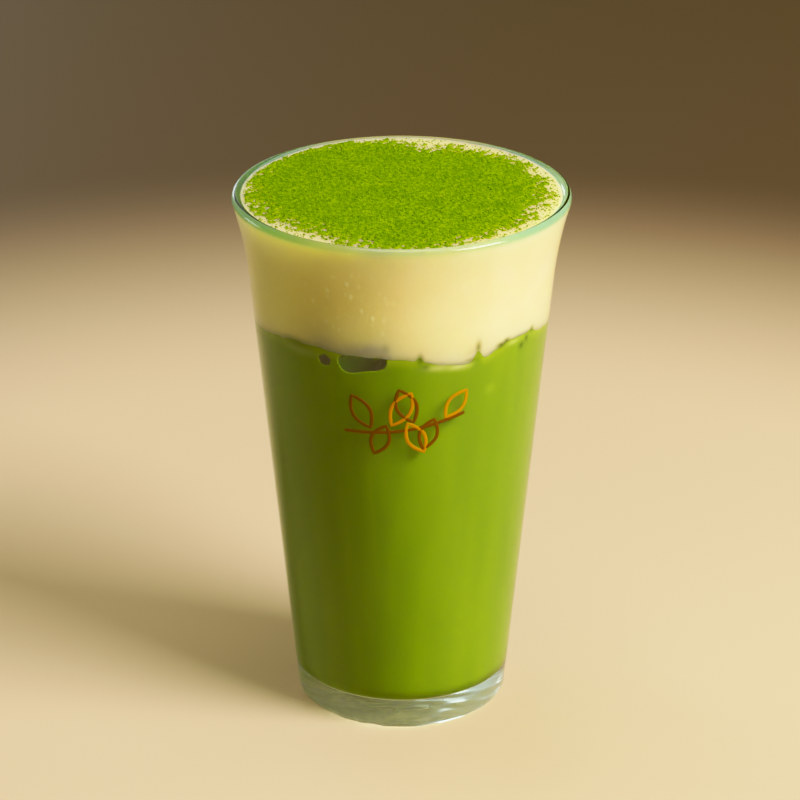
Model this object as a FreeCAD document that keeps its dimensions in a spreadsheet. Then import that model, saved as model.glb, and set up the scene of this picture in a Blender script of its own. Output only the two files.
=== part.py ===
"""Matcha einspanner: a flared tumbler of iced matcha latte under a thick cap of cream, dusted with matcha.

The frame has its origin at the centre of the circle that the tumbler stands on, with +Z up along the
tumbler's axis. All lengths are in millimetres.

Sub-parts, each written to parts/LABEL.step:
    glass          pressed tumbler with a heavy punted base, a straight taper and a flared, rounded lip
    matcha_latte   the green drink, from the floor of the tumbler up to the uneven line under the cream
    cream          the cap of cream, pushed up and down by the ice below it, filled nearly to the lip
    matcha_dusting the thin bed of sieved powder on the cream, with its uneven edge
"""

import FreeCAD, Part
import math
import os
import Sketcher

DIMENSIONS = [
    # alias, millimetres or degrees, what it is
    ("glass_height", 140.0, "height of the tumbler"),
    ("rim_radius", 43.0, "outermost radius of the lip"),
    ("lip_radius", 1.25, "fire-polished rounding of the lip"),
    ("neck_radius", 38.9, "outer radius where the flare starts"),
    ("flare_height", 118.0, "height where the flare starts"),
    ("taper_angle", 5.71, "lean of the straight wall from upright"),
    ("wall_thickness", 2.3, "across the wall, measured level"),
    ("heel_radius", 3.7, "rounding of the outer bottom edge"),
    ("foot_radius", 20.5, "inner radius of the flat standing ring"),
    ("punt_rise", 1.5, "hollow under the middle of the base"),
    ("floor_height", 8.1, "top of the heavy base"),
    ("corner_radius", 4.5, "rounding where the floor meets the wall"),
    ("cream_crown", 140.1, "highest point of the cream"),
    ("crown_back", 16.0, "the cream is highest this far behind the axis"),
    ("cream_dome", 1000.0, "radius of the cream's low dome"),
    ("cream_line", 108.0, "mean height where cream meets latte"),
    ("line_swell", 0.3, "height of the slow waves of that line"),
    ("dusting_radius", 38.2, "mean radius of the bed of powder"),
    ("dusting_left", 0.8, "the bed lies this far towards -X of the axis"),
    ("dusting_back", 0.8, "the bed lies this far towards +Y of the axis"),
    ("dusting_depth", 0.32, "depth of the powder in the middle"),
    ("dusting_edge_depth", 0.12, "depth of the powder at its edge"),
]

# Ice floats just under the cream. Each cube lifts the line between latte and cream (rise above 0),
# and the cream sinks into the pockets between cubes (rise below 0).
# degrees round from the front towards +X, distance from the axis, reach, rise
ICE_LUMPS = [
    (-76.0, 33.0, 8.0, -1.0),
    (-42.0, 34.0, 9.0, 2.3),
    (-10.0, 34.5, 6.5, 0.6),
    (22.0, 34.0, 6.0, -1.8),
    (33.0, 35.0, 4.0, -0.9),
    (52.0, 34.5, 6.5, 2.3),
    (80.0, 33.0, 8.0, -1.0),
    (112.0, 32.0, 7.0, 1.6),
    (140.0, 33.0, 6.0, -1.4),
    (168.0, 32.0, 8.0, 1.8),
    (-160.0, 33.0, 6.0, -1.3),
    (-132.0, 32.0, 8.0, 1.9),
    (-105.0, 33.0, 6.0, -1.2),
    (-20.0, 12.0, 9.0, 1.2),
    (120.0, 13.0, 9.0, -1.0),
]

LINE_GRID = 25  # points each way across the surface between latte and cream
LINE_REACH = 45.0  # half the width of that surface, past the cavity on all sides
EDGE_POINTS = 40  # points round the uneven edge of the dusting
SLACK = 2.0  # how far a cutting or filling shape runs past what it meets
ORIGIN, END, CENTRE = 1, 2, 3  # Sketcher's numbers for a curve's start, end and centre
X_AXIS, Z_AXIS = -1, -2  # Sketcher's numbers for the two axes of a profile sketch

doc = FreeCAD.newDocument("MatchaEinspanner")


# ---------------------------------------------------------------------------------------------- sheet
def make_sheet():
    """The spreadsheet of driving dimensions, one alias a row."""
    sheet = doc.addObject("Spreadsheet::Sheet", "Dims")
    for row, (alias, value, meaning) in enumerate(DIMENSIONS, start=1):
        sheet.set(f"A{row}", meaning)
        sheet.set(f"B{row}", str(value))
        sheet.setAlias(f"B{row}", alias)
    doc.recompute()
    return sheet


def size(alias):
    """A driving dimension as a plain number."""
    return float(doc.Dims.get(alias))


# ------------------------------------------------------------------------------------------- sketching
def new_profile(body, name):
    """A sketch on the body's own XZ plane: its x is the radius, and its y the height."""
    sketch = body.newObject("Sketcher::SketchObject", name)
    plane = next(f for f in body.Origin.OriginFeatures if f.Role == "XZ_Plane")
    sketch.AttachmentSupport = [(plane, "")]
    sketch.MapMode = "FlatFace"
    return sketch


def add_line(sketch, start, end):
    return sketch.addGeometry(Part.LineSegment(FreeCAD.Vector(*start), FreeCAD.Vector(*end)), False)


def add_arc(sketch, centre, radius, first, last):
    """An arc that runs anticlockwise from the first to the last angle, in degrees."""
    circle = Part.Circle(FreeCAD.Vector(*centre), FreeCAD.Vector(0, 0, 1), radius)
    return sketch.addGeometry(Part.ArcOfCircle(circle, math.radians(first), math.radians(last)), False)


def drive(sketch, kind, name, expression, *where):
    """A named constraint whose value follows the spreadsheet."""
    start_value = sketch.evalExpression(expression)
    start_value = float(getattr(start_value, "Value", start_value))
    if kind == "Angle":
        start_value = math.radians(start_value)
    index = sketch.addConstraint(Sketcher.Constraint(kind, *where, start_value))
    sketch.renameConstraint(index, name)
    sketch.setExpression(f"Constraints.{name}", expression)


def join(sketch, kind, *pairs):
    """Ties the end of one curve to the start of the next: kind is Tangent or Coincident."""
    for first, first_end, second, second_end in pairs:
        sketch.addConstraint(Sketcher.Constraint(kind, first, first_end, second, second_end))


def revolve(body, sketch, name):
    """A full turn of the profile about the tumbler's axis."""
    turned = body.newObject("PartDesign::Revolution", name)
    turned.Profile = sketch
    turned.ReferenceAxis = (sketch, ["V_Axis"])
    turned.Angle = 360.0
    body.Tip = turned
    return turned


# ----------------------------------------------------------------------------------------------- glass
def make_glass():
    """The pressed tumbler: one closed profile, turned about the axis."""
    body = doc.addObject("PartDesign::Body", "Tumbler")
    body.Label = "glass"
    sketch = new_profile(body, "TumblerProfile")

    taper = math.radians(size("taper_angle"))
    lean = math.tan(taper)
    neck, flare, wall = size("neck_radius"), size("flare_height"), size("wall_thickness")
    heel, corner, lip = size("heel_radius"), size("corner_radius"), size("lip_radius")
    floor, punt, foot = size("floor_height"), size("punt_rise"), size("foot_radius")
    lip_centre = (size("rim_radius") - lip, size("glass_height") - lip)

    def wall_radius(height, level_offset=0.0):
        return neck - level_offset - (flare - height) * lean

    def flare_circle(radius_at_flare, touching):
        """Centre x, centre y and radius of the flare: tangent to the wall, and to a circle round the lip
        whose radius is the touching value, negative where the lip lies inside the flare's circle."""
        across = lip_centre[0] - radius_at_flare
        above = lip_centre[1] - flare
        along_normal = across * math.cos(taper) - above * math.sin(taper)
        radius = (across**2 + above**2 - touching**2) / (2 * (along_normal + touching))
        return radius_at_flare + radius * math.cos(taper), flare - radius * math.sin(taper), radius

    def angle_to(origin, target):
        return math.degrees(math.atan2(target[1] - origin[1], target[0] - origin[0]))

    lean_deg = size("taper_angle")
    heel_x = wall_radius(heel) - heel / math.cos(taper)
    corner_x = wall_radius(floor + corner, wall) - corner / math.cos(taper)
    outer = flare_circle(neck, lip)
    inner = flare_circle(neck - wall, -lip)
    outer_tip = angle_to(outer[:2], lip_centre) % 360
    inner_tip = angle_to(inner[:2], lip_centre) % 360
    punt_radius = (foot**2 + punt**2) / (2 * punt)

    ring = add_line(sketch, (foot, 0), (heel_x, 0))
    heel_arc = add_arc(sketch, (heel_x, heel), heel, 270, 360 - lean_deg)
    wall_line = add_line(sketch, (wall_radius(heel), heel), (neck, flare))
    flare_arc = add_arc(sketch, outer[:2], outer[2], outer_tip, 180 - lean_deg)
    lip_arc = add_arc(sketch, lip_centre, lip, outer_tip - 180, inner_tip)
    inner_flare = add_arc(sketch, inner[:2], inner[2], inner_tip, 180 - lean_deg)
    inner_wall = add_line(sketch, (neck - wall, flare), (wall_radius(floor + corner, wall), floor + corner))
    corner_arc = add_arc(sketch, (corner_x, floor + corner), corner, 270, 360 - lean_deg)
    floor_line = add_line(sketch, (corner_x, floor), (0, floor))
    axis_line = add_line(sketch, (0, floor), (0, punt))
    punt_centre = (0, punt - punt_radius)
    punt_arc = add_arc(sketch, punt_centre, punt_radius, angle_to(punt_centre, (foot, 0)), 90)

    join(
        sketch,
        "Tangent",
        (ring, END, heel_arc, ORIGIN),
        (heel_arc, END, wall_line, ORIGIN),
        (wall_line, END, flare_arc, END),
        (flare_arc, ORIGIN, lip_arc, ORIGIN),
        (lip_arc, END, inner_flare, ORIGIN),
        (inner_flare, END, inner_wall, ORIGIN),
        (inner_wall, END, corner_arc, END),
        (corner_arc, ORIGIN, floor_line, ORIGIN),
    )
    join(
        sketch,
        "Coincident",
        (floor_line, END, axis_line, ORIGIN),
        (axis_line, END, punt_arc, END),
        (punt_arc, ORIGIN, ring, ORIGIN),
    )
    for level in (ring, floor_line):
        sketch.addConstraint(Sketcher.Constraint("Horizontal", level))
    for curve, place, on in (
        (axis_line, ORIGIN, Z_AXIS),
        (axis_line, END, Z_AXIS),
        (punt_arc, CENTRE, Z_AXIS),
        (ring, ORIGIN, X_AXIS),
    ):
        sketch.addConstraint(Sketcher.Constraint("PointOnObject", curve, place, on))
    sketch.addConstraint(Sketcher.Constraint("Parallel", wall_line, inner_wall))

    origin = (X_AXIS, ORIGIN)
    drive(sketch, "DistanceX", "foot", "Dims.foot_radius", *origin, ring, ORIGIN)
    drive(sketch, "Radius", "heel", "Dims.heel_radius", heel_arc)
    drive(sketch, "Angle", "taper", "90 - Dims.taper_angle", wall_line)
    drive(sketch, "DistanceX", "neck", "Dims.neck_radius", *origin, wall_line, END)
    drive(sketch, "DistanceY", "flare", "Dims.flare_height", *origin, wall_line, END)
    drive(sketch, "Radius", "lip", "Dims.lip_radius", lip_arc)
    drive(sketch, "DistanceX", "rim", "Dims.rim_radius - Dims.lip_radius", *origin, lip_arc, CENTRE)
    drive(sketch, "DistanceY", "top", "Dims.glass_height - Dims.lip_radius", *origin, lip_arc, CENTRE)
    neck_bore = "Dims.neck_radius - Dims.wall_thickness"
    drive(sketch, "DistanceX", "neck_bore", neck_bore, *origin, inner_wall, ORIGIN)
    drive(sketch, "DistanceY", "flare_bore", "Dims.flare_height", *origin, inner_wall, ORIGIN)
    drive(sketch, "Radius", "corner", "Dims.corner_radius", corner_arc)
    drive(sketch, "DistanceY", "floor", "Dims.floor_height", *origin, floor_line, END)
    drive(sketch, "DistanceY", "punt", "Dims.punt_rise", *origin, punt_arc, END)
    doc.recompute()
    revolve(body, sketch, "TumblerTurned")
    doc.recompute()
    return body


# ------------------------------------------------------------------------------------------ the filling
def make_filling(glass):
    """All that the tumbler holds: a turned core that ends inside the glass wall, less the glass itself,
    and under the low dome of the cream, which is highest a little behind the middle."""
    body = doc.addObject("PartDesign::Body", "FillingCore")
    sketch = new_profile(body, "FillingProfile")
    lean = math.tan(math.radians(size("taper_angle")))
    low = size("floor_height") - SLACK
    mid_neck = size("neck_radius") - size("wall_thickness") / 2
    mid_low = mid_neck - (size("flare_height") - low) * lean
    mid_lip = size("rim_radius") - size("lip_radius")
    brim = size("cream_crown") + SLACK

    bottom = add_line(sketch, (0, low), (mid_low, low))
    side = add_line(sketch, (mid_low, low), (mid_neck, size("flare_height")))
    flare = add_line(sketch, (mid_neck, size("flare_height")), (mid_lip, brim))
    top = add_line(sketch, (mid_lip, brim), (0, brim))
    axis = add_line(sketch, (0, brim), (0, low))
    join(
        sketch,
        "Coincident",
        (bottom, END, side, ORIGIN),
        (side, END, flare, ORIGIN),
        (flare, END, top, ORIGIN),
        (top, END, axis, ORIGIN),
        (axis, END, bottom, ORIGIN),
    )
    for level in (bottom, top):
        sketch.addConstraint(Sketcher.Constraint("Horizontal", level))
    for place in (ORIGIN, END):
        sketch.addConstraint(Sketcher.Constraint("PointOnObject", axis, place, Z_AXIS))

    origin = (X_AXIS, ORIGIN)
    drive(sketch, "DistanceY", "low", f"Dims.floor_height - {SLACK}", *origin, bottom, ORIGIN)
    drive(sketch, "Angle", "taper", "90 - Dims.taper_angle", side)
    drive(sketch, "DistanceX", "neck", "Dims.neck_radius - Dims.wall_thickness / 2", *origin, side, END)
    drive(sketch, "DistanceY", "flare", "Dims.flare_height", *origin, side, END)
    drive(sketch, "DistanceX", "lip", "Dims.rim_radius - Dims.lip_radius", *origin, flare, END)
    drive(sketch, "DistanceY", "brim", f"Dims.cream_crown + {SLACK}", *origin, flare, END)
    doc.recompute()
    revolve(body, sketch, "FillingTurned")

    dome = doc.addObject("Part::Sphere", "CreamDome")
    dome.setExpression("Radius", "Dims.cream_dome")
    dome.setExpression("Placement.Base.y", "Dims.crown_back")
    dome.setExpression("Placement.Base.z", "Dims.cream_crown - Dims.cream_dome")
    dome.Angle1 = 0.0

    domed = doc.addObject("Part::Common", "DomedCore")
    domed.Base = body
    domed.Tool = dome
    filling = doc.addObject("Part::Cut", "Filling")
    filling.Base = domed
    filling.Tool = glass
    doc.recompute()
    return filling


def cream_line_height(x, y):
    """Height of the surface between latte and cream: slow waves, and the lumps and pockets of the ice."""
    waves = math.sin(x / 9.0 + 0.8) + math.sin(y / 7.5 - 0.4) * math.cos(x / 13.0)
    height = size("cream_line") + size("line_swell") * waves
    for angle, distance, reach, rise in ICE_LUMPS:
        across = x - distance * math.sin(math.radians(angle))
        along = y + distance * math.cos(math.radians(angle))
        height += rise * math.exp(-(across**2 + along**2) / (2 * reach**2))
    return height


def make_latte_side():
    """A block whose uneven top is the surface between latte and cream, and which holds all below it."""
    step = 2 * LINE_REACH / (LINE_GRID - 1)
    places = [-LINE_REACH + step * i for i in range(LINE_GRID)]
    rows = [[FreeCAD.Vector(x, y, cream_line_height(x, y)) for y in places] for x in places]
    surface = Part.BSplineSurface()
    surface.interpolate(rows)
    block = doc.addObject("Part::Feature", "LatteSide")
    block.Shape = surface.toShape().extrude(FreeCAD.Vector(0, 0, -size("cream_line")))
    return block


def make_latte(filling, latte_side):
    """The drink: the filling below the cream line."""
    latte = doc.addObject("Part::Common", "Latte")
    latte.Label = "matcha_latte"
    latte.Base = filling
    latte.Tool = latte_side
    return latte


def make_cream(filling, latte_side):
    """The cap of cream: the filling above the cream line."""
    cream = doc.addObject("Part::Cut", "Cream")
    cream.Label = "cream"
    cream.Base = filling
    cream.Tool = latte_side
    return cream


# -------------------------------------------------------------------------------------------- dusting
def dusting_edge(angle):
    """Radius of the uneven edge of the powder, about the middle of the bed."""
    waves = ((3, 0.9, 0.012), (7, 0.0, 0.006), (11, 2.0, 0.005))  # how many round, phase, share of the radius
    lobes = sum(share * math.sin(count * angle + phase) for count, phase, share in waves)
    return size("dusting_radius") * (1 + lobes)


def make_dusting(cream):
    """The bed of powder: inside its uneven edge, under a shallow dome and above the cream."""
    middle = FreeCAD.Vector(-size("dusting_left"), size("dusting_back"), 0)
    points = []
    for i in range(EDGE_POINTS):
        angle = 2 * math.pi * i / EDGE_POINTS
        radius = dusting_edge(angle)
        points.append(middle + FreeCAD.Vector(radius * math.cos(angle), radius * math.sin(angle), 0))
    curve = Part.BSplineCurve()
    curve.interpolate(Points=points, PeriodicFlag=True)
    outline = doc.addObject("Part::Feature", "DustingOutline")
    outline.Shape = Part.Face(Part.Wire([curve.toShape()]))
    outline.Placement.Base = FreeCAD.Vector(0, 0, size("cream_crown") - SLACK)

    column = doc.addObject("Part::Extrusion", "DustingColumn")
    column.Base = outline
    column.DirMode = "Custom"
    column.Dir = FreeCAD.Vector(0, 0, 1)
    column.LengthFwd = 2 * SLACK
    column.Solid = True

    # The powder's dome curves a little more than the cream's, so that the powder thins from the middle of
    # the bed to its edge. Its centre lies on the line from the centre of the cream's dome to that middle.
    thinning = "(2 * (Dims.dusting_depth - Dims.dusting_edge_depth) / Dims.dusting_radius^2)"
    radius = f"(1 / (1 / Dims.cream_dome + {thinning}))"
    share = f"({radius} / Dims.cream_dome)"
    off_crown = "(Dims.dusting_left^2 + (Dims.crown_back - Dims.dusting_back)^2)"
    cream_fall = f"({off_crown} / (2 * Dims.cream_dome))"
    top = f"(Dims.cream_crown + Dims.dusting_depth - {cream_fall} * (1 - {share}))"
    dome = doc.addObject("Part::Sphere", "DustingDome")
    dome.setExpression("Radius", radius)
    dome.setExpression("Placement.Base.x", f"-Dims.dusting_left * (1 - {share})")
    back = f"Dims.dusting_back + (Dims.crown_back - Dims.dusting_back) * {share}"
    dome.setExpression("Placement.Base.y", back)
    dome.setExpression("Placement.Base.z", f"{top} - {radius}")
    dome.Angle1 = 0.0

    heap = doc.addObject("Part::Common", "DustingHeap")
    heap.Base = column
    heap.Tool = dome
    dusting = doc.addObject("Part::Cut", "Dusting")
    dusting.Label = "matcha_dusting"
    dusting.Base = heap
    dusting.Tool = cream
    return dusting


# --------------------------------------------------------------------------------------------- output
def check(parts):
    """Stops unless every object computed and every sub-part is one or more valid closed solids."""
    for item in doc.Objects:
        if any(word in item.State for word in ("Invalid", "Error")):
            raise RuntimeError(f"{item.Name} failed to compute: {item.State}")
    for part in parts:
        shape = part.Shape
        if shape.isNull() or not shape.isValid() or not shape.Solids:
            raise RuntimeError(f"{part.Label} is not a valid solid")
    for name in ("TumblerProfile", "FillingProfile"):
        if not doc.getObject(name).FullyConstrained:
            raise RuntimeError(f"{name} is not fully constrained")


def write(parts):
    os.makedirs("parts", exist_ok=True)
    for part in parts:
        part.Shape.exportStep(f"parts/{part.Label}.step")
        box = part.Shape.optimalBoundingBox()
        print(f"{part.Label}: {len(part.Shape.Solids)} solid, {part.Shape.Volume / 1000:.1f} cm3,", end=" ")
        print(f"{box.XLength:.1f} x {box.YLength:.1f} mm, z {box.ZMin:.2f} to {box.ZMax:.2f}")


def main():
    make_sheet()
    glass = make_glass()
    filling = make_filling(glass)
    latte_side = make_latte_side()
    latte = make_latte(filling, latte_side)
    cream = make_cream(filling, latte_side)
    dusting = make_dusting(cream)
    doc.recompute()
    parts = [glass, latte, cream, dusting]
    check(parts)
    write(parts)


main()
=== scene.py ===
"""Looks of a matcha einspanner: iced matcha latte in a flared tumbler, under cream dusted with matcha.

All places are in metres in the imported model's frame: its origin is under the tumbler, +Z is up and -Y is
the front. Bearings are degrees round from the front towards +X.
"""

import math

import bmesh
import bpy
import numpy as np
from mathutils import Matrix, Vector


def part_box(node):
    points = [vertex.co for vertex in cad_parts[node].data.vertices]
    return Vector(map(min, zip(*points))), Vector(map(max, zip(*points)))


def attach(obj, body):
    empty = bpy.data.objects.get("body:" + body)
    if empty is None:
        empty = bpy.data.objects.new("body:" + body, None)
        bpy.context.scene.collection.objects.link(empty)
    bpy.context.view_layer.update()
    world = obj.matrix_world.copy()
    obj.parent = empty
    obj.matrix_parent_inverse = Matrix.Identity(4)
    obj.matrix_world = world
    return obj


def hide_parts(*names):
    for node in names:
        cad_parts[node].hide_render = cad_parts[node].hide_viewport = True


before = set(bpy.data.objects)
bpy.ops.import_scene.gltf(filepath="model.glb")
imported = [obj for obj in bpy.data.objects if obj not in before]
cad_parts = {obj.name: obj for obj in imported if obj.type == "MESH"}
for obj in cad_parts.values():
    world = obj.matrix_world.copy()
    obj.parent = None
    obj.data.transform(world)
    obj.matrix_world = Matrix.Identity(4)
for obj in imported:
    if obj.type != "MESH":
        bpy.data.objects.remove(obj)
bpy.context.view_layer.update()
mm = 0.001

# ------------------------------------------------------------------------------------------- tumbler
# A pressed soda-lime tumbler: a heavy base over a shallow punt, a straight lean, a flared mouth and a
# fire-polished lip. It is clear, with the green that shows wherever the eye looks along the glass.
rim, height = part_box("glass")[1].x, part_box("glass")[1].z
neck, flare, lean = 38.9 * mm, 118.0 * mm, math.radians(5.71)
wall, lip, heel, corner = 2.3 * mm, 1.25 * mm, 3.7 * mm, 4.5 * mm
foot, punt, base = 20.5 * mm, 1.5 * mm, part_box("matcha_latte")[0].z
lean_degrees = math.degrees(lean)


def arc(centre, radius, first, last, steps):
    """Points along an arc of a profile, from the first angle to the last, in degrees."""
    angles = np.radians(np.linspace(first, last, steps + 1))
    return [(centre[0] + radius * math.cos(a), centre[1] + radius * math.sin(a)) for a in angles]


def run(start, end, steps):
    """Points along a straight stretch of a profile, without its two ends."""
    shares = [i / steps for i in range(1, steps)]
    return [(start[0] + (end[0] - start[0]) * s, start[1] + (end[1] - start[1]) * s) for s in shares]


def wall_radius(z, inside=0.0):
    """Radius of the straight wall, or of its inner face."""
    return neck - inside - (flare - z) * math.tan(lean)


def flare_circle(inside, touching):
    """Centre and radius of the flare: it leaves the wall in line and meets the circle of the lip."""
    start = neck - inside
    across, above = rim - lip - start, height - lip - flare
    normal = across * math.cos(lean) - above * math.sin(lean)
    radius = (across**2 + above**2 - touching**2) / (2 * (normal + touching))
    return (start + radius * math.cos(lean), flare - radius * math.sin(lean)), radius


def flare_arc(inside, touching, steps):
    """Points up the flare, and the angle at which it meets the lip."""
    centre, radius = flare_circle(inside, touching)
    last = math.degrees(math.atan2(height - lip - centre[1], rim - lip - centre[0]))
    return arc(centre, radius, 180 - lean_degrees, last, steps), last


def turned(profile, segments):
    """A profile of radius and height, turned a full circle into a closed shape that faces outwards."""
    shape = bmesh.new()
    points = [shape.verts.new((radius, 0, z)) for radius, z in profile]
    edges = [shape.edges.new(pair) for pair in zip(points, points[1:])]
    spun = {"cent": (0, 0, 0), "axis": (0, 0, 1), "angle": 2 * math.pi, "steps": segments}
    bmesh.ops.spin(shape, geom=points + edges, use_merge=True, **spun)
    bmesh.ops.remove_doubles(shape, verts=shape.verts, dist=1e-7)
    bmesh.ops.recalc_face_normals(shape, faces=shape.faces)
    return shape


def piece(shape, name, finish, replaced=(), crease=50):
    """A finished shape as a piece of the object, smooth but for edges sharper than the crease."""
    mesh = bpy.data.meshes.new(name)
    shape.to_mesh(mesh)
    shape.free()
    mesh.shade_smooth()
    mesh.set_sharp_from_angle(angle=math.radians(crease))
    mesh.materials.append(finish)
    made = bpy.data.objects.new(name, mesh)
    bpy.context.scene.collection.objects.link(made)
    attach(made, "root")
    if replaced:
        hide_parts(*replaced)
    return made


def places(made):
    """The places of a piece's corners, one a row."""
    rows = np.empty(len(made.data.vertices) * 3, np.float32)
    made.data.vertices.foreach_get("co", rows)
    return rows.reshape(-1, 3).astype(float)


def move(made, rows):
    """Moves a piece's corners to new places."""
    made.data.vertices.foreach_set("co", rows.astype(np.float32).ravel())
    made.data.update()


def ripples(spots, size, seed):
    """Smooth unevenness, mostly from -1 to 1, with swells of about this size: many waves that cross."""
    chance = np.random.default_rng(seed)
    headings = chance.normal(size=(32, spots.shape[1]))
    headings /= np.linalg.norm(headings, axis=1)[:, None]
    headings *= 2 * math.pi / (size * chance.uniform(1.4, 3.0, (32, 1)))
    return np.sin(spots @ headings.T + chance.uniform(0, 2 * math.pi, 32)).sum(axis=1) / 8


class Value:
    """A number that varies over a surface, or a colour or vector: one socket of a finish's nodes."""

    def __init__(self, finish, socket):
        self.finish, self.socket = finish, socket

    def maths(self, operation, *numbers):
        return self.finish.node("ShaderNodeMath", {"operation": operation}, dict(enumerate(numbers)))

    def __add__(self, other):
        return self.maths("ADD", self, other)

    def __mul__(self, other):
        return self.maths("MULTIPLY", self, other)

    def __abs__(self):
        return self.maths("ABSOLUTE", self)

    __radd__, __rmul__ = __add__, __mul__

    def ramp(self, low, high):
        """0 up to the low value, 1 from the high one on, and smooth between."""
        settings = {"interpolation_type": "SMOOTHSTEP"}
        sockets = {"Value": self, "From Min": low, "From Max": high}
        return self.finish.node("ShaderNodeMapRange", settings, sockets)


class Finish:
    """A material being mixed, with one way to add each kind of node."""

    def __init__(self, name):
        self.material = bpy.data.materials.new(name)
        self.material.use_nodes = True
        self.tree = self.material.node_tree
        self.tree.nodes.clear()

    def node(self, kind, settings, sockets, output=None):
        made = self.tree.nodes.new(kind)
        for key, value in settings.items():
            setattr(made, key, value)
        for key, value in sockets.items():
            named = (s for s in made.inputs if s.name == key and s.enabled)
            socket = made.inputs[key] if isinstance(key, int) else next(named)
            if isinstance(value, Value):
                self.tree.links.new(value.socket, socket)
            else:
                socket.default_value = value
        shown = [s for s in made.outputs if s.enabled and output in (None, s.name)]
        return Value(self, shown[0] if shown else None)

    def place(self, stretch=(1, 1, 1)):
        """The place on the object, in metres, stretched along its axes."""
        where = self.node("ShaderNodeTexCoord", {}, {}, "Object")
        return self.node("ShaderNodeMapping", {}, {"Vector": where, "Scale": stretch})

    def along(self, axis):
        """The place on the object along one axis, in metres."""
        return self.node("ShaderNodeSeparateXYZ", {}, {"Vector": self.place()}, axis)

    def level(self):
        """The height on the object, in metres."""
        return self.along("Z")

    def clouds(self, size, detail=2.0, stretch=(1, 1, 1)):
        """Soft noise from 0 to 1, with features of about this size."""
        sockets = {"Vector": self.place(stretch), "Scale": 1 / size, "Detail": detail}
        return self.node("ShaderNodeTexNoise", {}, sockets, "Fac")

    def attribute(self, name):
        return self.node("ShaderNodeAttribute", {"attribute_name": name}, {}, "Fac")

    def blend(self, share, first, second):
        """A colour between two others."""
        colours = {"Factor": share, "A": first, "B": second}
        ready = {key: (*value, 1) if isinstance(value, tuple) else value for key, value in colours.items()}
        return self.node("ShaderNodeMix", {"data_type": "RGBA"}, ready, "Result")

    def bump(self, relief, depth, strength=1.0):
        """A normal from a relief of 0 to 1, whose full height is the depth in metres."""
        sockets = {"Height": relief, "Distance": depth, "Strength": strength}
        return self.node("ShaderNodeBump", {}, sockets)

    def surface(self, **sockets):
        """The Principled shader, its sockets given as words_with_underscores."""
        named = {"ior": "IOR", "specular_ior_level": "Specular IOR Level"}
        ready = {named.get(key, key.replace("_", " ").title()): value for key, value in sockets.items()}
        for key, value in ready.items():
            if "Color" in key and isinstance(value, tuple):
                ready[key] = (*value, 1)
        return self.node("ShaderNodeBsdfPrincipled", {}, ready)

    def done(self, surface, volume=None):
        sockets = {"Surface": surface} | ({"Volume": volume} if volume else {})
        self.node("ShaderNodeOutputMaterial", {}, sockets)
        return self.material

    def see_through(self, tint, absorbed, density, **sockets):
        """Finishes clear stuff whose shadow is only as deep as its tint, so light reaches what it holds."""
        clear = self.surface(transmission_weight=1.0, **sockets)
        lit = self.node("ShaderNodeBsdfTransparent", {}, {"Color": (*tint, 1)})
        shadow = self.node("ShaderNodeLightPath", {}, {}, "Is Shadow Ray")
        mixed = self.node("ShaderNodeMixShader", {}, {0: shadow, 1: clear, 2: lit})
        depth = {"Color": (*absorbed, 1), "Density": density}
        return self.done(mixed, self.node("ShaderNodeVolumeAbsorption", {}, depth))


outer_flare, outer_touch = flare_arc(0.0, lip, 16)
inner_flare, inner_touch = flare_arc(wall, -lip, 16)
punt_radius = (foot**2 + punt**2) / (2 * punt)
punt_edge = math.degrees(math.acos(foot / punt_radius))
heel_x = wall_radius(heel) - heel / math.cos(lean)
corner_x = wall_radius(base + corner, wall) - corner / math.cos(lean)
tumbler_profile = [
    *arc((0, punt - punt_radius), punt_radius, 90, punt_edge, 24),
    *run((foot, 0), (heel_x, 0), 5),
    *arc((heel_x, heel), heel, 270, 360 - lean_degrees, 10),
    *run((wall_radius(heel), heel), (neck, flare), 60),
    *outer_flare,
    *arc((rim - lip, height - lip), lip, outer_touch - 180, inner_touch, 16)[1:],
    *reversed(inner_flare[:-1]),
    *run((neck - wall, flare), (wall_radius(base + corner, wall), base + corner), 24),
    *arc((corner_x, base + corner), corner, 360 - lean_degrees, 270, 8),
    *run((corner_x, base), (0, base), 10),
    (0, base),
]
underside = 1.4 * mm
soda_lime = Finish("soda_lime_glass")
toward_foot = soda_lime.level().ramp(9 * mm, 3 * mm)
toward_lip = soda_lime.level().ramp(height - 2.6 * mm, height - 0.6 * mm)
# Painted glow on the lip: deep teal at its sides and only pale green at its front. It stands in for the
# light carried round inside the glass as seen from the front.
sideways = abs(soda_lime.along("X")).ramp(10 * mm, 34 * mm)
painted_lip_glow = soda_lime.blend(sideways, (0.50, 0.70, 0.50), (0.14, 0.54, 0.64))
glass_colour = soda_lime.blend(toward_foot, (1.0, 1.0, 1.0), (0.97, 1.0, 0.98))
glass_colour = soda_lime.blend(toward_lip, glass_colour, painted_lip_glow)
soda_lime_finish = soda_lime.see_through(
    tint=(0.95, 0.98, 0.95),
    absorbed=(0.15, 0.76, 0.54),
    density=5.0,
    base_color=glass_colour,
    roughness=soda_lime.level().ramp(underside + 1 * mm, underside) * 0.28,
    ior=1.5,
)
tumbler = piece(turned(tumbler_profile, 256), "tumbler", soda_lime_finish, ["glass"])

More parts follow.
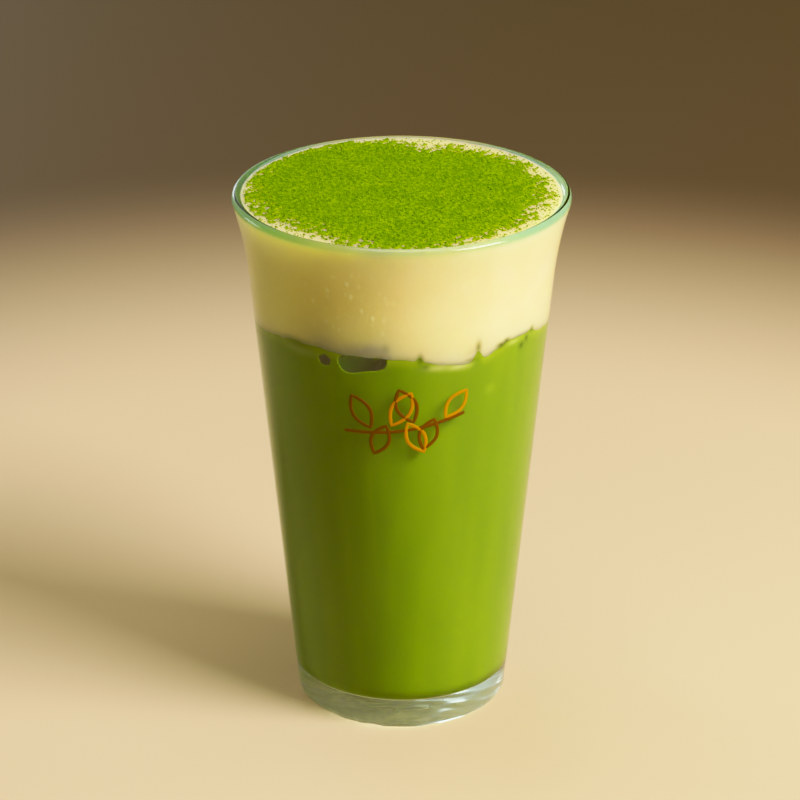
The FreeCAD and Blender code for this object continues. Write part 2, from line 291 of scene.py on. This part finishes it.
# The mould leaves the outside of the base uneven, and its underside rippled, less so on the ring that
# it stands on.
ripple_depth, ripple_size, ring_share = 0.30 * mm, 3.4 * mm, 0.4
bulge_depth, bulge_size, bulging_below = 0.10 * mm, 5 * mm, 16 * mm
tumbler_rows = places(tumbler)
reach = np.hypot(tumbler_rows[:, 0], tumbler_rows[:, 1])
outside = (reach > wall_radius(tumbler_rows[:, 2], wall / 2)) | (tumbler_rows[:, 2] < base / 2)
low = np.clip(1 - tumbler_rows[:, 2] / bulging_below, 0, 1) * outside
under = low * (tumbler_rows[:, 2] < punt + 0.2 * mm)
under *= np.interp(reach, (foot - 2 * mm, foot + 1 * mm), (1, ring_share))
uneven = np.maximum(1 + ripples(tumbler_rows[:, :2], ripple_size, 11), 0)
tumbler_rows[:, 2] += under * ripple_depth * uneven
bulge = low * bulge_depth * ripples(tumbler_rows, bulge_size, 12)
tumbler_rows[:, :2] *= 1 + (bulge / np.maximum(reach, foot))[:, None]
move(tumbler, tumbler_rows)

# --------------------------------------------------------------------------------------- iced latte
# Milk and matcha, opaque and yellow-green, filling the tumbler to the uneven line under the cream. It
# reaches just into the glass, so that no air shows between them.
bite = 0.15 * mm
line, swell = 108.0 * mm, 0.3 * mm
curl_depth, curl_size = 0.18 * mm, 2.2 * mm
# Each ice cube lifts the line, and the cream sinks between cubes: bearing, distance, reach, rise, in mm
ice_lumps = [
    (-76, 33, 8.0, -1.0),
    (-42, 34, 9.0, 2.3),
    (-10, 34.5, 6.5, 0.6),
    (22, 34, 6.0, -1.8),
    (33, 35, 4.0, -0.9),
    (52, 34.5, 6.5, 2.3),
    (80, 33, 8.0, -1.0),
    (112, 32, 7.0, 1.6),
    (140, 33, 6.0, -1.4),
    (168, 32, 8.0, 1.8),
    (-160, 33, 6.0, -1.3),
    (-132, 32, 8.0, 1.9),
    (-105, 33, 6.0, -1.2),
    (-20, 12, 9.0, 1.2),
    (120, 13, 9.0, -1.0),
]
# The drink seeps up beside the cubes in narrow tongues, against the glass only.
seeps = [
    (7.0, 35.7, 0.6, 1.4),
    (31.1, 35.7, 0.85, 2.6),
    (44.5, 35.7, 0.8, 0.5),
    (61, 35.7, 1.0, 0.8),
    (101, 35.7, 1.0, 2.4),
    (153, 35.7, 1.0, 2.0),
    (-148, 35.7, 0.9, 2.6),
    (-93, 35.7, 1.1, 1.8),
]


def at_bearing(bearing, distance):
    """The place on the ground plan at this bearing in degrees and distance from the axis."""
    turn = math.radians(bearing)
    return np.array([distance * math.sin(turn), -distance * math.cos(turn)])


def line_height(rows):
    """Height of the line between latte and cream above each place."""
    x, y = rows[:, 0], rows[:, 1]
    waves = np.sin(x / (9 * mm) + 0.8) + np.sin(y / (7.5 * mm) - 0.4) * np.cos(x / (13 * mm))
    z = line + swell * waves
    for bearing, distance, size, rise in ice_lumps + seeps:
        away = ((rows[:, :2] - at_bearing(bearing, distance * mm)) ** 2).sum(axis=1)
        z += rise * mm * np.exp(-away / (2 * (size * mm) ** 2))
    return z + curl_depth * ripples(rows[:, :2], curl_size, 21)


def to_line(made, fixed):
    """Moves a filling up or down to the uneven line: fully at its ring there, and not at a fixed height."""
    rows = places(made)
    share = np.clip((rows[:, 2] - fixed) / (line - fixed), 0, 1)
    reach = np.hypot(rows[:, 0], rows[:, 1])
    on_wall = (share > 0) & (reach > wall_radius(rows[:, 2], wall - bite) - 0.01 * mm)
    rows[:, 2] += (line_height(rows) - line) * share
    rows[on_wall, :2] *= (wall_radius(rows[on_wall, 2], wall - bite) / reach[on_wall])[:, None]
    move(made, rows)


moved_wall = 8 * mm
latte_low, latte_fixed = base + corner, line - moved_wall
line_edge = (wall_radius(line, wall - bite), line)
fixed_edge = (wall_radius(latte_fixed, wall - bite), latte_fixed)
latte_profile = [
    (0, base - bite),
    *run((0, base - bite), (corner_x, base - bite), 6),
    *arc((corner_x, latte_low), corner + bite, 270, 360 - lean_degrees, 8),
    *run((wall_radius(latte_low, wall - bite), latte_low), fixed_edge, 40),
    fixed_edge,
    *run(fixed_edge, line_edge, 24),
    line_edge,
    *run(line_edge, (0, line), 24),
    (0, line),
]
milky_matcha = Finish("milky_matcha")
streaks = milky_matcha.clouds(6 * mm, 2.0, (1, 1, 0.05))
drifts = milky_matcha.clouds(20 * mm, 2.0, (1, 1, 0.4))
mixing = (streaks * 0.55 + drifts * 0.45).ramp(0.32, 0.68)
latte_colour = milky_matcha.blend(mixing, (0.172, 0.284, 0.0), (0.212, 0.328, 0.0))
paler = milky_matcha.attribute("from_line").ramp(3.0 * mm, 0.0) * 0.45
latte_colour = milky_matcha.blend(paler, latte_colour, (0.40, 0.50, 0.008))
# Painted reflection: the latte is a paler green where two flat bubbles lie against the glass.
latte_colour = milky_matcha.blend(milky_matcha.attribute("caught_air_glint"), latte_colour, (0.42, 0.56, 0.02))
latte_colour = milky_matcha.blend(milky_matcha.attribute("veil"), latte_colour, (0.62, 0.62, 0.26))
# Painted light: where the latte's walls form a pocket behind the ice, they are a brighter, purer green,
# standing in for light seen through the ice.
latte_colour = milky_matcha.blend(milky_matcha.attribute("pocket_light_and_shade"), latte_colour, (0.12, 0.42, 0.0))
latte_colour = milky_matcha.blend(milky_matcha.attribute("shade"), latte_colour, (0.035, 0.075, 0.0))
# Painted light: the very bottom of the latte is pale cream, standing in for the light caught in the thick
# glass base under it.
painted_light_at_bottom = milky_matcha.level().ramp(base + 0.9 * mm, base + 0.1 * mm)
latte_colour = milky_matcha.blend(painted_light_at_bottom, latte_colour, (0.86, 0.84, 0.66))
latte_finish = milky_matcha.done(
    milky_matcha.surface(
        base_color=latte_colour,
        roughness=0.5,
        specular_ior_level=0.05,
        subsurface_weight=0.3,
        subsurface_radius=(1.0, 1.0, 0.3),
        subsurface_scale=1.2 * mm,
    )
)
latte = piece(turned(latte_profile, 512), "latte", latte_finish, ["matcha_latte"])
to_line(latte, latte_fixed)

# --------------------------------------------------------------------------------------------- cream
# Lightly whipped cream, poured to the lip and a little higher at the back: warm white, dense and matt,
# with small bubbles caught against the glass.
crown, crown_back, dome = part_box("cream")[1].z, 16 * mm, 1000 * mm
cream_fixed, brim = line + moved_wall, height - 1.0 * mm
fold_depth, fold_size = 0.07 * mm, 12 * mm
crease_depth, crease_size = 0.03 * mm, 4 * mm
brim_reach = rim - lip - 0.9 * mm


def cream_top(rows):
    """Height of the top of the cream: a very low dome, highest behind the middle, with soft folds."""
    fall = (rows[:, 0] ** 2 + (rows[:, 1] - crown_back) ** 2) / (2 * dome)
    folds = fold_depth * ripples(rows[:, :2], fold_size, 31)
    creases = crease_depth * ripples(rows[:, :2], crease_size, 32)
    return crown - fall + (folds + creases)


def bore_radius(z):
    """Inner radius of the tumbler from the straight wall up over the flare and onto the lip."""
    centre, radius = flare_circle(wall, -lip)
    touch = centre[1] + radius * math.sin(math.radians(inner_touch))
    flared = centre[0] - np.sqrt(radius**2 - (z - centre[1]) ** 2)
    rounded = rim - lip - np.sqrt(np.maximum(lip**2 - (z - height + lip) ** 2, 0))
    return np.where(z < flare, wall_radius(z, wall), np.where(z < touch, flared, rounded))


neck_edge = (neck - wall + bite, flare)
brim_edge = (float(bore_radius(brim)) + bite, brim)
cream_fixed_edge = (wall_radius(cream_fixed, wall - bite), cream_fixed)
cream_profile = [
    (0, line),
    *run((0, line), line_edge, 20),
    line_edge,
    *run(line_edge, cream_fixed_edge, 24),
    cream_fixed_edge,
    neck_edge,
    *run(neck_edge, brim_edge, 40),
    brim_edge,
    *run(brim_edge, (0, brim), 60),
    (0, brim),
]
whipped = Finish("whipped_cream")
mottle = whipped.clouds(9 * mm, 3.0)
cream_colour = whipped.blend(mottle.ramp(0.3, 0.7), (0.87, 0.69, 0.38), (0.91, 0.73, 0.43))
# Painted shade: the cream's shaded left side is a deeper yellow-green.
cream_colour = whipped.blend(whipped.attribute("shade_side_yellow"), cream_colour, (0.85, 0.76, 0.26))
# Painted light: the cream's open top is a brighter colour than its sides.
painted_light_on_top = whipped.level().ramp(height - 2.4 * mm, height - 1.6 * mm)
cream_colour = whipped.blend(painted_light_on_top, cream_colour, (1.0, 0.81, 0.38))
stained = whipped.attribute("from_line").ramp(2.0 * mm, 0.0) * 0.45
cream_colour = whipped.blend(stained, cream_colour, (0.56, 0.58, 0.14))
# Painted shade: where the cream's walls form a pocket behind the ice, they are a dark green.
cream_colour = whipped.blend(whipped.attribute("pocket_light_and_shade"), cream_colour, (0.14, 0.32, 0.0))
cream_colour = whipped.blend(whipped.attribute("shade"), cream_colour, (0.10, 0.14, 0.0))
cream_colour = whipped.blend(whipped.attribute("veil"), cream_colour, (0.60, 0.55, 0.30))
# Small bubbles against the glass: real dents in the bump, and a painted highlight as a paler spot of
# colour.
cells = {"Vector": whipped.place((1, 1, 0.7)), "Scale": 1 / (2.2 * mm)}
bubble = whipped.node("ShaderNodeTexVoronoi", {}, cells, "Distance").ramp(0.38, 0.10)
bubbles_and_glints = bubble * whipped.clouds(7 * mm, 1.0).ramp(0.34, 0.54) * whipped.attribute("caught_air_glint")
cream_colour = whipped.blend(bubbles_and_glints * 0.8, cream_colour, (1.0, 0.94, 0.62))
cream_finish = whipped.done(
    whipped.surface(
        base_color=cream_colour,
        roughness=0.5,
        specular_ior_level=0.2,
        subsurface_weight=0.9,
        subsurface_radius=(1.0, 1.0, 0.35),
        subsurface_scale=9.0 * mm,
        normal=whipped.bump(whipped.clouds(1.2 * mm, 3.0) * 0.5 + bubbles_and_glints, 0.14 * mm, 0.7),
    )
)
cream = piece(turned(cream_profile, 512), "cream_cap", cream_finish, ["cream"])
cream_rows = places(cream)
reach = np.hypot(cream_rows[:, 0], cream_rows[:, 1])
heading = cream_rows[:, :2] / np.maximum(reach, 1e-9)[:, None]
contact = cream_top(heading * brim_reach)
on_top = cream_rows[:, 2] > brim - 1e-6
on_flare = (cream_rows[:, 2] > flare + 1e-6) & ~on_top
stretch = (cream_rows[:, 2] - flare) / (brim - flare)
cream_rows[on_flare, 2] = (flare + stretch * (contact - flare))[on_flare]
new_reach = np.where(on_flare, bore_radius(cream_rows[:, 2]) + bite, reach)
new_reach = np.where(on_top, reach / brim_edge[0] * (bore_radius(contact) + bite), new_reach)
cream_rows[:, :2] = heading * new_reach[:, None]
cream_rows[on_top, 2] = cream_top(cream_rows[on_top])
move(cream, cream_rows)
to_line(cream, cream_fixed)

# ----------------------------------------------------------------------------------------- ice cubes
# Half-melted cubes of clear ice that float at the line. Where one presses against the glass it shows
# as a dark pocket in the latte, paler where the cream lies behind it. Part of that comes from the real
# ice and the shade inside it, and part from painted light and shade on the pocket's walls.
# Each cube: bearing, distance of its centre, height, its tilt, roll and spin in degrees, and size, in mm
ice_cubes = [
    (-15.4, 26.4, 108.2, 45, -11, 0, 17.5),
    (-31.5, 25.2, 109.4, -12, 0, 45, 18),
    (21.0, 22.3, 105.9, 45, -2, 0, 20),
    (50.0, 22.0, 107.4, 40, 0, 35, 20),
    (112.0, 22.5, 107.0, 30, 10, 20, 20),
    (170.0, 22.6, 107.5, 45, 5, 0, 20),
    (-120.0, 22.4, 107.2, 35, -12, 30, 20),
]
melted_edge, film = 0.34, 0.5 * mm
# How strongly the walls of a pocket behind the ice are painted: painted light on the latte, painted shade
# on the cream.
pocket_light_and_shade_share, pocket_height = 0.6, 20 * mm
# Where a film of cream veils a cube: bearing, height, spread round and up in mm, and how strongly
veils = [
    (14.5, 106.2, 3.0, 0.8, 0.55),
    (22.5, 105.9, 2.8, 0.8, 0.75),
    (-12.0, 107.6, 2.4, 0.8, 0.55),
    (-13.0, 111.5, 3.8, 1.3, 0.45),
    (49.0, 108.8, 1.8, 0.6, 0.5),
    (-44.0, 107.6, 4.5, 1.1, 0.22),
]
# Where a cube behind the wall darkens it, in the same numbers
shades = [
    (7.3, 109.0, 0.7, 1.3, 0.75),
    (9.4, 106.8, 1.0, 1.0, 0.5),
    (-8.4, 108.3, 0.8, 0.9, 0.8),
    (-6.2, 112.0, 1.0, 1.3, 0.3),
    (31.1, 110.4, 0.9, 1.8, 0.8),
    (28.2, 107.2, 1.6, 0.6, 0.55),
    (29.0, 109.4, 1.8, 1.4, 0.22),
    (42.2, 109.2, 1.4, 0.8, 0.95),
    (44.8, 110.0, 1.1, 0.7, 0.85),
    (54.4, 106.8, 0.9, 0.9, 0.8),
    (57.6, 108.2, 0.8, 1.0, 0.8),
    (61.0, 109.8, 0.8, 1.0, 0.7),
    (-44.0, 109.4, 5.0, 1.2, 0.4),
]
# Where air is caught against the glass: fine bubbles in the cream, and two flat ones in the drink. Both
# show as paler colour, a painted highlight.
caught_air_glint = [(-22, 122, 9.5, 8.5, 1.0), (38, 97, 1.5, 0.8, 0.8), (52, 90, 1.0, 0.6, 0.7)]
# Where the cream's shaded left side is painted a deeper yellow-green: painted shade
shade_side_yellow = [(-52, 122, 30, 40, 0.9)]


def melted_cube(bearing, distance, z, tilt, roll, spin, size):
    """One cube with its edges melted round, standing at its place."""
    cube = bmesh.new()
    bmesh.ops.create_cube(cube, size=size * mm)
    rounding = {"affect": "EDGES", "segments": 6, "profile": 0.5, "material": -1}
    bmesh.ops.bevel(cube, geom=cube.edges[:], offset=size * mm * melted_edge, **rounding)
    steps = ((spin, "Z"), (tilt, "X"), (roll, "Y"), (bearing, "Z"))
    for angle, axis in steps:
        bmesh.ops.rotate(cube, verts=cube.verts, matrix=Matrix.Rotation(math.radians(angle), 3, axis))
    bmesh.ops.translate(cube, verts=cube.verts, vec=(*at_bearing(bearing, distance * mm), z * mm))
    return cube


def joined(shapes):
    """Several shapes as one."""
    whole = bmesh.new()
    for shape in shapes:
        part = bpy.data.meshes.new("part")
        shape.to_mesh(part)
        whole.from_mesh(part)
        shape.free()
        bpy.data.meshes.remove(part)
    return whole


def carved(target, tool, operation):
    """Cuts or trims a piece with another, and keeps the result as the piece's own mesh."""
    step = target.modifiers.new(operation, "BOOLEAN")
    step.operation, step.object, step.solver = operation, tool, "MANIFOLD"
    result = target.evaluated_get(bpy.context.evaluated_depsgraph_get())
    target.data = bpy.data.meshes.new_from_object(result)
    target.modifiers.remove(step)


melting = Finish("melting_ice")
ice_finish = melting.see_through(
    tint=(0.88, 0.95, 0.45),
    absorbed=(0.42, 0.72, 0.0),
    density=75.0,
    base_color=(1.0, 1.0, 1.0),
    roughness=0.0,
    ior=1.03,
)
ice = piece(joined([melted_cube(*cube) for cube in ice_cubes]), "ice_cubes", ice_finish)
low_edge = (wall_radius(base + corner, wall - bite), base + corner)
film_edge = (line_edge[0] - film, line + 0.4 * mm)
cavity_top = (neck - wall - film, flare)
cavity_profile = [(0, base + corner), low_edge, line_edge, film_edge, cavity_top, (0, flare)]
cavity = piece(turned(cavity_profile, 512), "cavity", ice_finish)
to_line(cavity, latte_fixed)
carved(ice, cavity, "INTERSECT")
bpy.data.objects.remove(cavity)
carved(latte, ice, "DIFFERENCE")
carved(cream, ice, "DIFFERENCE")


def spread_out(rows, patches):
    """How strongly each place is veiled or shaded by the nearest of these patches."""
    share = np.zeros(len(rows))
    bearings = np.arctan2(rows[:, 0], -rows[:, 1])
    for bearing, z, round_spread, up_spread, strength in patches:
        off = (bearings - math.radians(bearing)) * wall_radius(line, wall) / (round_spread * mm)
        up = (rows[:, 2] - z * mm) / (up_spread * mm)
        share = np.maximum(share, strength * np.exp(-(off**2 + up**2)))
    return share


for drink, side in ((latte, 1), (cream, -1)):
    rows = places(drink)
    below_line = side * (line_height(rows) - rows[:, 2])
    behind_wall = np.hypot(rows[:, 0], rows[:, 1]) < wall_radius(rows[:, 2], wall + 0.2 * mm)
    in_pocket = behind_wall & (below_line > 0.3 * mm) & (abs(rows[:, 2] - line) < pocket_height)
    looks = {
        "from_line": below_line,
        "veil": spread_out(rows, veils),
        "shade": spread_out(rows, shades),
        "pocket_light_and_shade": pocket_light_and_shade_share * in_pocket,
        "caught_air_glint": spread_out(rows, caught_air_glint),
        "shade_side_yellow": spread_out(rows, shade_side_yellow),
    }
    for name, values in looks.items():
        drink.data.attributes.new(name, "FLOAT", "POINT").data.foreach_set("value", values)

# --------------------------------------------------------------------------------------- matcha powder
# Matcha sieved over the cream: a bed of fine green powder with loose clumps on it, thinning to single
# specks before the glass, and a little off centre.
bed_full, bed_fade, bed_reach, bed_cell = 30.6 * mm, 5.4 * mm, 39.7 * mm, 0.25 * mm
grain_reach, skirt_depth = 39.9 * mm, 0.7 * mm
powder_depth, least_depth, sunk = 0.20 * mm, 0.03 * mm, 0.1 * mm
lump_relief, lump_size, drift_relief, drift_size = 0.11 * mm, 0.8 * mm, 0.04 * mm, 3 * mm
# The bed breaks up into patches, flecks and specks: how much, and how large
patchy_share, patch_size = 0.4, 5 * mm
fleck_share, fleck_size, speck_share, speck_size = 0.7, 1.2 * mm, 0.5, 0.5 * mm
# Where the thick bed reaches further or less far: bearing, spread in degrees, more reach in mm
bed_lobes = [
    (2, 14, 2.6),
    (-42, 20, -2.4),
    (60, 18, -1.5),
    (168, 22, -3.8),
    (-130, 42, 4.0),
    (132, 14, 1.6),
]
drift_bearing, drift_spread, drift_fade = -120, 40, 2.5 * mm
draws = np.random.default_rng(7)


def near(bearings, middle, spread):
    """1 at the middle bearing, falling to 0 away from it."""
    off = (bearings - middle + 180) % 360 - 180
    return np.exp(-((off / spread) ** 2))


def powder_cover(rows):
    """How surely powder lies at each place: well above 0 in the bed, and below 0 where cream is bare."""
    bearings = np.degrees(np.arctan2(rows[:, 0], -rows[:, 1]))
    full = bed_full + sum(near(bearings, middle, spread) * more * mm for middle, spread, more in bed_lobes)
    fade = bed_fade + drift_fade * near(bearings, drift_bearing, drift_spread)
    beyond = (np.hypot(rows[:, 0], rows[:, 1]) - full) / fade
    patches = patchy_share * ripples(rows[:, :2], patch_size, 41)
    specks = speck_share * ripples(rows[:, :2], speck_size, 42)
    flecks = fleck_share * ripples(rows[:, :2], fleck_size, 43)
    return np.minimum(1.3 - beyond, 1.6) + patches + (specks + flecks)


def powder_top(rows):
    """Height of the powder, or just under the cream where there is none."""
    cover = np.clip(powder_cover(rows) / 0.4, 0, 1)
    lumps, drifts = ripples(rows[:, :2], lump_size, 44), ripples(rows[:, :2], drift_size, 45)
    depth = np.maximum(powder_depth + lump_relief * lumps + drift_relief * drifts, least_depth)
    return cream_top(rows) - sunk + cover * (sunk + depth)


bed_shape = bmesh.new()
bed_cells = math.ceil(2 * bed_reach / bed_cell)
bmesh.ops.create_grid(bed_shape, x_segments=bed_cells, y_segments=bed_cells, size=bed_reach)
beyond_bed = [vert for vert in bed_shape.verts if vert.co.length > bed_reach]
bmesh.ops.delete(bed_shape, geom=beyond_bed, context="VERTS")
bed_edges = [edge for edge in bed_shape.edges if edge.is_boundary]
skirt = bmesh.ops.extrude_edge_only(bed_shape, edges=bed_edges)["geom"]
skirt_verts = [part for part in skirt if isinstance(part, bmesh.types.BMVert)]
bmesh.ops.translate(bed_shape, verts=skirt_verts, vec=(0, 0, -skirt_depth))
bmesh.ops.holes_fill(bed_shape, edges=[edge for edge in bed_shape.edges if edge.is_boundary])
bmesh.ops.recalc_face_normals(bed_shape, faces=bed_shape.faces)

sieved = Finish("sieved_matcha")
speckle = sieved.clouds(1.2 * mm, 3.0)
patchy = sieved.clouds(7 * mm, 2.0)
mottled = (speckle * 0.75 + patchy * 0.25).ramp(0.35, 0.65)
bed_colour = sieved.blend(mottled, (0.128, 0.248, 0.0), (0.258, 0.415, 0.002))
thin = sieved.attribute("thinness")
bed_colour = sieved.blend(thin * 0.6, bed_colour, (0.42, 0.52, 0.02))
bed_finish = sieved.done(sieved.surface(base_color=bed_colour, roughness=1.0, specular_ior_level=0.02))
bed = piece(bed_shape, "powder_bed", bed_finish, ["matcha_dusting"], crease=180)
bed_rows = places(bed)
bed_top = bed_rows[:, 2] > -skirt_depth / 2
bed_rows[:, 2] = np.where(bed_top, powder_top(bed_rows), cream_top(bed_rows) - skirt_depth)
thinness = np.clip(1 - powder_cover(bed_rows) / 0.9, 0, 1)
bed.data.attributes.new("thinness", "FLOAT", "POINT").data.foreach_set("value", thinness)
move(bed, bed_rows)

loose = Finish("matcha_grains")
grain_colour = loose.blend(loose.attribute("tone"), (0.132, 0.255, 0.0), (0.31, 0.475, 0.002))
grain_finish = loose.done(loose.surface(base_color=grain_colour, roughness=1.0, specular_ior_level=0.02))


def scattered(count):
    """Places on the cream where a grain lies, by chance but for how thickly the powder lies there."""
    tries = 14 * count
    turns, reaches = draws.uniform(0, 2 * math.pi, tries), grain_reach * np.sqrt(draws.uniform(size=tries))
    spots = np.column_stack([reaches * np.sin(turns), reaches * np.cos(turns)])
    kept = powder_cover(spots) > draws.uniform(-1.2, 1.2, tries)
    return spots[kept][:count]


def grains(name, spots, smallest, largest):
    """Loose grains of powder, each a small flattened lump with its own size, turn and tone."""
    lump = bmesh.new()
    bmesh.ops.create_icosphere(lump, subdivisions=1, radius=0.5)
    corners = np.array([vert.co for vert in lump.verts])
    faces = np.array([[vert.index for vert in face.verts] for face in lump.faces])
    lump.free()
    count = len(spots)
    flatness = draws.uniform((0.8, 0.8, 0.5), (1.2, 1.2, 0.8), (count, 3))
    sizes = draws.uniform(smallest, largest, (count, 1)) * flatness
    turns = draws.uniform(0, 2 * math.pi, count)
    local = corners[None] * draws.uniform(0.75, 1.25, (count, len(corners), 1)) * sizes[:, None, :]
    x = local[..., 0] * np.cos(turns)[:, None] - local[..., 1] * np.sin(turns)[:, None]
    y = local[..., 0] * np.sin(turns)[:, None] + local[..., 1] * np.cos(turns)[:, None]
    raised = sizes[:, 2] * draws.uniform(-0.1, 0.35, count)
    heights = np.maximum(powder_top(spots), cream_top(spots)) + raised
    points = np.stack([x + spots[:, :1], y + spots[:, 1:], local[..., 2] + heights[:, None]], axis=-1)
    order = faces[None] + (np.arange(count) * len(corners))[:, None, None]
    mesh = bpy.data.meshes.new(name)
    mesh.from_pydata(points.reshape(-1, 3), [], order.reshape(-1, 3))
    tones = np.repeat(draws.beta(2.2, 2.2, count), len(corners))
    mesh.attributes.new("tone", "FLOAT", "POINT").data.foreach_set("value", tones)
    mesh.shade_smooth()
    mesh.materials.append(grain_finish)
    made = bpy.data.objects.new(name, mesh)
    bpy.context.scene.collection.objects.link(made)
    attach(made, "root")


grains("powder_clumps", scattered(6500), 0.32 * mm, 0.56 * mm)
grains("powder_grains", scattered(9900), 0.20 * mm, 0.36 * mm)

# --------------------------------------------------------------------------------------------- print
# A tea sprig in fired enamel, brown and ochre, screened on the front of the tumbler under the line.
sprig_middle, sprig_height, stroke, enamel = 2.0, 91.5 * mm, 0.46 * mm, 0.06 * mm
sprig_scale = 1.14


def leaf(root, heading, length, width):
    """The outline of a pointed leaf: its root, the heading of its tip in degrees, and its size, in mm."""
    shares = np.linspace(0, 1, 13)
    along, side = length * shares, width / 2 * np.sin(math.pi * shares) ** 0.9
    outline = np.vstack([np.column_stack([along, side]), np.column_stack([along, -side])[-2:0:-1]])
    turn = math.radians(heading)
    turned_leaf = outline @ np.array([[math.cos(turn), math.sin(turn)], [-math.sin(turn), math.cos(turn)]])
    return turned_leaf + root


def twig(start, end, sag):
    """A gently bent line from start to end, in mm."""
    shares = np.linspace(0, 1, 12)[:, None]
    bend = np.array([0, sag]) * np.sin(math.pi * shares)
    return np.array(start) * (1 - shares) + np.array(end) * shares + bend


def enamelled(name, colour, closed_strokes, open_strokes):
    """Strokes of enamel, drawn flat in mm and then wrapped round the wall of the tumbler."""
    drawing = bpy.data.curves.new(name, "CURVE")
    drawing.dimensions, drawing.bevel_depth, drawing.bevel_resolution = "3D", stroke, 2
    drawing.use_fill_caps = True
    for strokes, closed in ((closed_strokes, True), (open_strokes, False)):
        for points in strokes:
            spline = drawing.splines.new("POLY")
            spline.points.add(len(points) - 1)
            spline.use_cyclic_u = closed
            for point, (across, up) in zip(spline.points, points):
                point.co = (across * mm * sprig_scale, 0, up * mm * sprig_scale, 1)
    flat = bpy.data.objects.new(name + "_flat", drawing)
    bpy.context.scene.collection.objects.link(flat)
    drawn = flat.evaluated_get(bpy.context.evaluated_depsgraph_get())
    shape = bmesh.new()
    shape.from_mesh(bpy.data.meshes.new_from_object(drawn))
    bpy.data.objects.remove(flat)
    paint = Finish(name)
    fired = paint.clouds(0.5 * mm, 2.0)
    tint = paint.blend(fired, colour, tuple(share * 1.15 for share in colour))
    done = paint.done(paint.surface(base_color=tint, roughness=0.45, specular_ior_level=0.3))
    made = piece(shape, name, done)
    rows = places(made)
    z = sprig_height + rows[:, 2]
    turns = math.radians(sprig_middle) + rows[:, 0] / wall_radius(sprig_height)
    out = wall_radius(z) + rows[:, 1] * enamel / stroke
    move(made, np.column_stack([out * np.sin(turns), -out * np.cos(turns), z]))


enamelled(
    "sprig_brown",
    (0.19, 0.070, 0.006),
    [
        leaf((-8, -1.2), 118, 8.5, 4.2),
        leaf((1.5, 0.4), 112, 8.5, 4.4),
        leaf((-4.5, -0.6), -112, 7.5, 4.0),
        leaf((6.0, 0.8), -108, 7.5, 4.0),
    ],
    [twig((-14, -2.6), (13, 1.6), -1.2)],
)
enamelled(
    "sprig_ochre",
    (0.56, 0.26, 0.0),
    [leaf((-3.3, -0.4), 62, 9.0, 4.2), leaf((0.2, 0.0), -62, 8.0, 4.0), leaf((8.6, 1.1), 52, 7.5, 3.8)],
    [],
)

# -------------------------------------------------------------------------------------------- studio
# A plain pale floor that darkens further off, one large soft light from the front right, cooler windows
# behind on the left, and weak fill all round.
bpy.ops.mesh.primitive_plane_add(size=8, location=(0, 0, -0.05 * mm))
floor = bpy.context.object
floor.name = "floor"
floor_paint = Finish("pale_floor")
away_from_drink = {"operation": "LENGTH"}
outwards = floor_paint.node("ShaderNodeVectorMath", away_from_drink, {0: floor_paint.place()}, "Value")
floor_colour = floor_paint.blend(outwards.ramp(0.20, 0.42), (0.80, 0.62, 0.44), (0.13, 0.085, 0.055))
floor.data.materials.append(
    floor_paint.done(floor_paint.surface(base_color=floor_colour, roughness=0.6, specular_ior_level=0.3))
)

aim = Vector((0, 0, height * 0.6))


def softbox(name, bearing, rise, distance, size, power, colour):
    """A square soft light that faces the drink, at a bearing and a rise in degrees."""
    light = bpy.data.lights.new(name, "AREA")
    light.size, light.energy, light.color = size, power, colour
    lamp = bpy.data.objects.new(name, light)
    bpy.context.scene.collection.objects.link(lamp)
    up = math.radians(rise)
    away = Vector((*at_bearing(bearing, math.cos(up)), math.sin(up)))
    lamp.location = aim + away * distance
    lamp.rotation_euler = away.to_track_quat("Z", "Y").to_euler()


softbox("key", 60, 38, 1.4, 0.7, 21.3, (1.0, 0.94, 0.86))
softbox("window", -160, 10, 1.6, 0.35, 1.0, (0.86, 0.95, 1.0))
softbox("window_wall", -148, 24, 1.6, 1.6, 4.0, (0.80, 0.93, 1.0))
softbox("window_low", -116, 12, 1.6, 0.5, 2.4, (0.92, 0.97, 1.0))
softbox("overhead", 0, 88, 1.6, 0.9, 4.5, (1.0, 0.95, 0.82))

world = bpy.data.worlds.new("studio")
world.use_nodes = True
world.node_tree.nodes["Background"].inputs["Color"].default_value = (1.0, 0.83, 0.3, 1)
world.node_tree.nodes["Background"].inputs["Strength"].default_value = 0.15
bpy.context.scene.world = world

# The picture is developed with a gentle shoulder, and a little contrast in the yellows.
developed = bpy.context.scene.view_settings
developed.view_transform = "Standard"
developed.use_curve_mapping = True
developed.curve_mapping.black_level = (0.0, 0.0, 0.014)
brightest = 1.3
developed.curve_mapping.white_level = (brightest, brightest, brightest)
shoulder = developed.curve_mapping.curves[3]
for exposed, shown in ((0.10, 0.10), (0.27, 0.33), (0.45, 0.54), (0.71, 0.77), (1.0, 0.89)):
    shoulder.points.new(exposed / brightest, shown)
shoulder.points[-1].location = (1.0, 0.96)
developed.curve_mapping.update()

looking_down = 23.3
camera_data = bpy.data.cameras.new("camera")
camera_data.lens, camera_data.sensor_width = 165.0, 36.0
camera = bpy.data.objects.new("camera", camera_data)
bpy.context.scene.collection.objects.link(camera)
camera.location = (-0.4 * mm, -870.8 * mm, 457.4 * mm)
camera.rotation_euler = (math.radians(90 - looking_down), 0, 0)
bpy.context.scene.camera = camera
